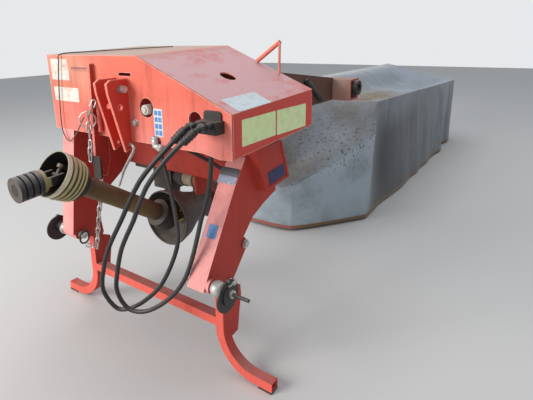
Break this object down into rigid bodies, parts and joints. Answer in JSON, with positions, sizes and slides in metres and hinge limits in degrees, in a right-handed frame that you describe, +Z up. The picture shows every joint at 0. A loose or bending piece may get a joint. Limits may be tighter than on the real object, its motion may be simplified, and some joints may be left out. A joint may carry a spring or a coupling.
{
  "type": "folded disc mower",
  "caption": "Rear-mounted disc mower folded back for parking: headstock on its stand, swinging boom with fold cylinder, disc cutterbar under a grey cloth cover.",
  "frame": {"origin": "on the axis of the lower link pins, midway between them", "axes": "-Y towards the tractor, +Y to the rear along the folded cutterbar, +X to the machine's left, +Z up"},
  "size_m": [1.194, 4.9383, 1.2073],
  "materials": {
    "red_paint": "sun-faded orange-red paint with dust and chips",
    "bright_steel": "zinc-plated, dull",
    "black_steel": "black, dusty",
    "cast_grey": "dusty casting",
    "guard_beige": "weathered plastic",
    "bowl_grey": "weathered plastic",
    "yoke_ochre": "worn ochre paint",
    "rubber_black": "black rubber",
    "rope_grey": "thin dirty cord",
    "chain_steel": "zinc-plated links",
    "cover_cloth": "grey coated cloth, dirty",
    "worn_steel": "worn by soil, light rust",
    "disc_steel": "rusty steel"
  },
  "bodies": {
    "headstock": {"front_panel": "red_paint", "hood": "red_paint", "side_rib": "red_paint", "mast_plates": "red_paint", "clevis_plates": "red_paint", "top_link_pin": "bright_steel", "cross_beam": "red_paint", "left_leg": "red_paint", "right_leg": "red_paint", "lower_pins": "bright_steel", "link_balls": "bright_steel", "catch_plates": "black_steel", "linch_pin": "bright_steel", "gearbox": "cast_grey", "bowl_guard": "bowl_grey", "side_shaft": "guard_beige", "shaft_bracket": "red_paint", "pivot_gearbox": "cast_grey", "pivot_column": "red_paint", "pivot_pin": "bright_steel", "cylinder_bracket": "red_paint", "stand_brackets": "red_paint", "hose_block": "rubber_black", "hose_unions": "bright_steel", "hose_1": "rubber_black", "hose_2": "rubber_black", "hose_3": "rubber_black", "rope": "rope_grey", "upper_chain": "chain_steel", "lower_chain": "chain_steel", "hook_rod": "bright_steel", "hood_lever": "red_paint", "pto_guard": "guard_beige"},
    "boom": {"boom": "red_paint", "boom_head": "red_paint", "head_buffer": "rubber_black", "boom_stay": "bright_steel"},
    "cutter_unit": {"hanger": "red_paint", "inner_gearbox": "cast_grey", "cutterbar_bed": "red_paint", "skid_shoes": "worn_steel", "outer_shoe": "red_paint", "cover_frame": "red_paint", "canvas": "cover_cloth"},
    "stand": {"stand_frame": "red_paint", "foot_pads": "rubber_black"},
    "drive_shaft": {"pto_shaft": "black_steel"},
    "front_joint": {"front_yoke": "yoke_ochre"},
    "rear_joint": {"rear_yoke": "yoke_ochre"},
    "cylinder_barrel": {"fold_barrel": "black_steel"},
    "cylinder_rod": {"fold_rod": "bright_steel"},
    "disc_1": {"disc_1": "disc_steel"},
    "disc_2": {"disc_2": "disc_steel"},
    "disc_3": {"disc_3": "disc_steel"},
    "disc_4": {"disc_4": "disc_steel"},
    "disc_5": {"disc_5": "disc_steel"},
    "disc_6": {"disc_6": "disc_steel"},
    "disc_7": {"disc_7": "disc_steel"}
  },
  "joints": [
    {"name": "boom_swing", "type": "hinge", "parent": "headstock", "child": "boom", "pos_m": [-0.265, 0.665, 0.4], "axis": [0, 0, 1], "range_deg": [0, 90]},
    {"name": "cutter_contour", "type": "hinge", "parent": "boom", "child": "cutter_unit", "pos_m": [-0.195, 1.235, 0.533], "axis": [1, 0, 0], "range_deg": [-15, 30]},
    {"name": "stand_fold", "type": "hinge", "parent": "headstock", "child": "stand", "pos_m": [0, 0.104, -0.041], "axis": [1, 0, 0], "range_deg": [0, 75]},
    {"name": "drive_shaft_spin", "type": "hinge", "parent": "headstock", "child": "drive_shaft", "pos_m": [0, 0.219, 0.078], "axis": [0, -0.8358, 0.549], "continuous": true},
    {"name": "front_joint_spin", "type": "hinge", "parent": "headstock", "child": "front_joint", "pos_m": [0, -0.26159, 0.39369], "axis": [0, -0.9976, -0.0698], "continuous": true},
    {"name": "rear_joint_spin", "type": "hinge", "parent": "headstock", "child": "rear_joint", "pos_m": [0, 0.219, 0.078], "axis": [0, -1, 0], "continuous": true},
    {"name": "barrel_pivot", "type": "hinge", "parent": "headstock", "child": "cylinder_barrel", "pos_m": [0.3, 0.48, 0.383], "axis": [0, 0, 1], "range_deg": [0, 1.4]},
    {"name": "rod_slide", "type": "slide", "parent": "cylinder_barrel", "child": "cylinder_rod", "axis": [-0.8735, 0.4868, 0], "range_m": [0, 0.214]},
    {"name": "disc_1_spin", "type": "hinge", "parent": "cutter_unit", "child": "disc_1", "pos_m": [-0.11, 1.7, -0.29], "axis": [0, 0, 1], "continuous": true},
    {"name": "disc_2_spin", "type": "hinge", "parent": "cutter_unit", "child": "disc_2", "pos_m": [-0.11, 2.1, -0.29], "axis": [0, 0, 1], "continuous": true},
    {"name": "disc_3_spin", "type": "hinge", "parent": "cutter_unit", "child": "disc_3", "pos_m": [-0.11, 2.5, -0.29], "axis": [0, 0, 1], "continuous": true},
    {"name": "disc_4_spin", "type": "hinge", "parent": "cutter_unit", "child": "disc_4", "pos_m": [-0.11, 2.9, -0.29], "axis": [0, 0, 1], "continuous": true},
    {"name": "disc_5_spin", "type": "hinge", "parent": "cutter_unit", "child": "disc_5", "pos_m": [-0.11, 3.3, -0.29], "axis": [0, 0, 1], "continuous": true},
    {"name": "disc_6_spin", "type": "hinge", "parent": "cutter_unit", "child": "disc_6", "pos_m": [-0.11, 3.7, -0.29], "axis": [0, 0, 1], "continuous": true},
    {"name": "disc_7_spin", "type": "hinge", "parent": "cutter_unit", "child": "disc_7", "pos_m": [-0.11, 4.1, -0.29], "axis": [0, 0, 1], "continuous": true}
  ],
  "couplings": [
    {"joint": "front_joint_spin", "follows": "drive_shaft_spin", "ratio": 1},
    {"joint": "rear_joint_spin", "follows": "drive_shaft_spin", "ratio": 1},
    {"joint": "barrel_pivot", "follows": "boom_swing", "ratio": 0.01395},
    {"joint": "rod_slide", "follows": "boom_swing", "m_per_rad": 0.1348},
    {"joint": "disc_2_spin", "follows": "disc_1_spin", "ratio": -1},
    {"joint": "disc_3_spin", "follows": "disc_1_spin", "ratio": 1},
    {"joint": "disc_4_spin", "follows": "disc_1_spin", "ratio": -1},
    {"joint": "disc_5_spin", "follows": "disc_1_spin", "ratio": 1},
    {"joint": "disc_6_spin", "follows": "disc_1_spin", "ratio": -1},
    {"joint": "disc_7_spin", "follows": "disc_1_spin", "ratio": 1}
  ]
}
